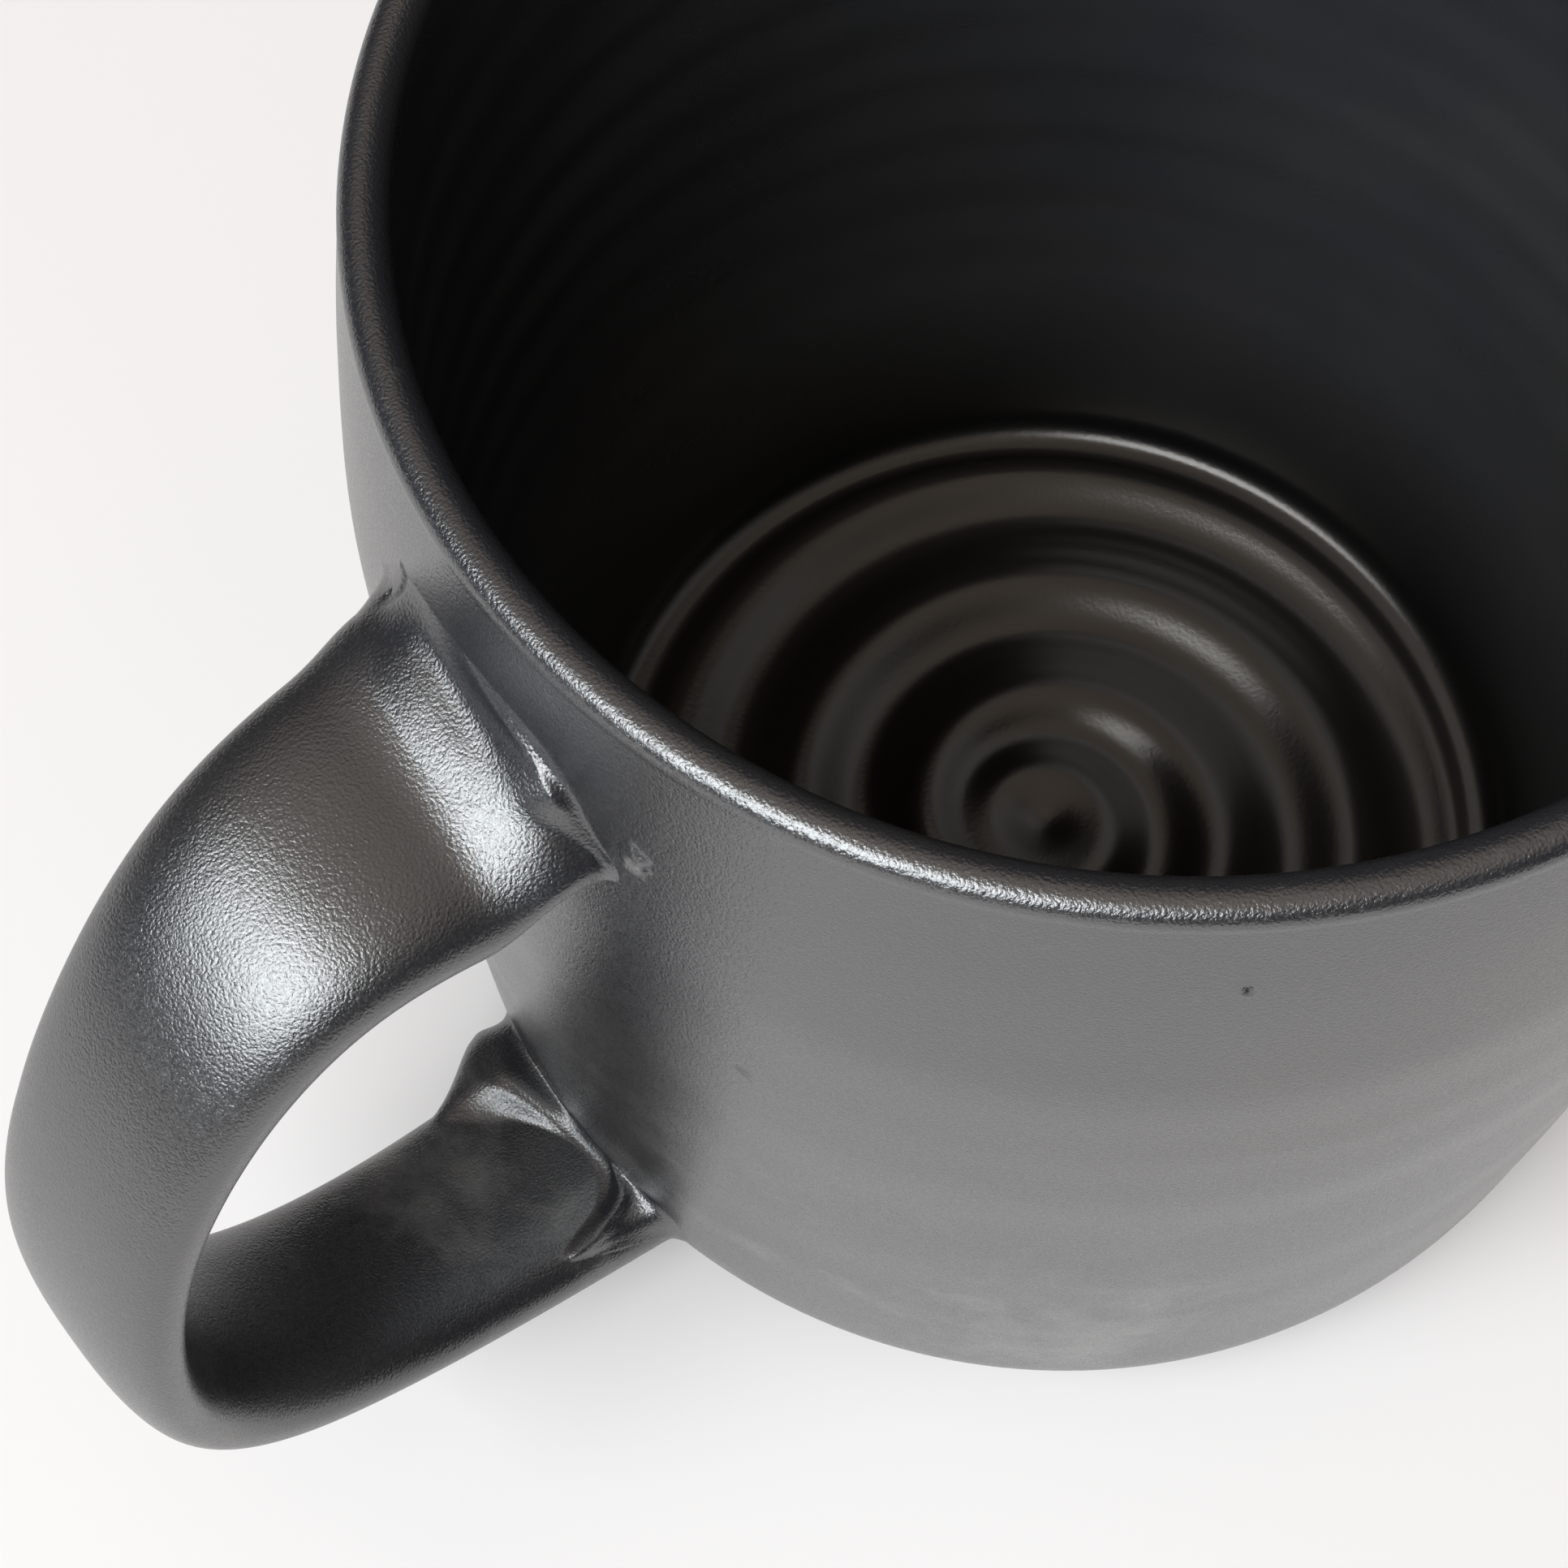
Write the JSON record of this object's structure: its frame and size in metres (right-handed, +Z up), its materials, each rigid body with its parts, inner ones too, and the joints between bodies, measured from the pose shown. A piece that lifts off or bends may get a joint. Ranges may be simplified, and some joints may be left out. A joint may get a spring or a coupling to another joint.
{
  "type": "ceramic mug",
  "caption": "Hand-thrown stoneware mug with a softly bellied wall, rounded lip, flat foot and a pulled strap handle bonded by wiped slip joints, in satin black glaze.",
  "frame": {"origin": "centre of the flat foot, on the surface the mug stands on", "axes": "+Z up along the turning axis, -X from the axis towards the middle of the handle, Y across the handle's strap"},
  "size_m": [0.1259, 0.0912, 0.093],
  "materials": {
    "satin_black_glaze": "satin black stoneware glaze with a fine orange-peel grain and brownish breaks",
    "glazed_slip": "the same satin black glaze, thinner over wiped slip"
  },
  "bodies": {
    "root": {"mug_body": "satin_black_glaze", "handle_strap": "satin_black_glaze", "upper_slip_joint": "glazed_slip", "lower_slip_joint": "glazed_slip"}
  },
  "joints": []
}
